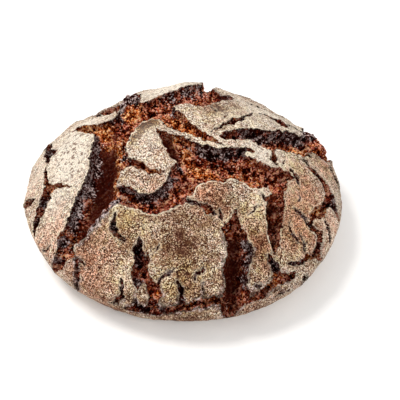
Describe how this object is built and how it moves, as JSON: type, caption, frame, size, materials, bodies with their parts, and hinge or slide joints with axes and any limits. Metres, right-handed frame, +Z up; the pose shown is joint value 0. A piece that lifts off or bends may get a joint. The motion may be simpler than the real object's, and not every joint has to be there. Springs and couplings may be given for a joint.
{
  "type": "rye bread loaf",
  "caption": "Round rustic rye loaf with a floured crust burst into curled plates over dark torn fissures, flat underneath.",
  "frame": {"origin": "on the ground under the middle of the loaf's flat base", "axes": "+Z up out of the crown; -Y towards the loaf's front, with the big front plate; +X to the right seen from the front"},
  "size_m": [0.2626, 0.2628, 0.1029],
  "materials": {
    "floured_crust": null
  },
  "bodies": {
    "root": {"loaf": "floured_crust"}
  },
  "joints": []
}
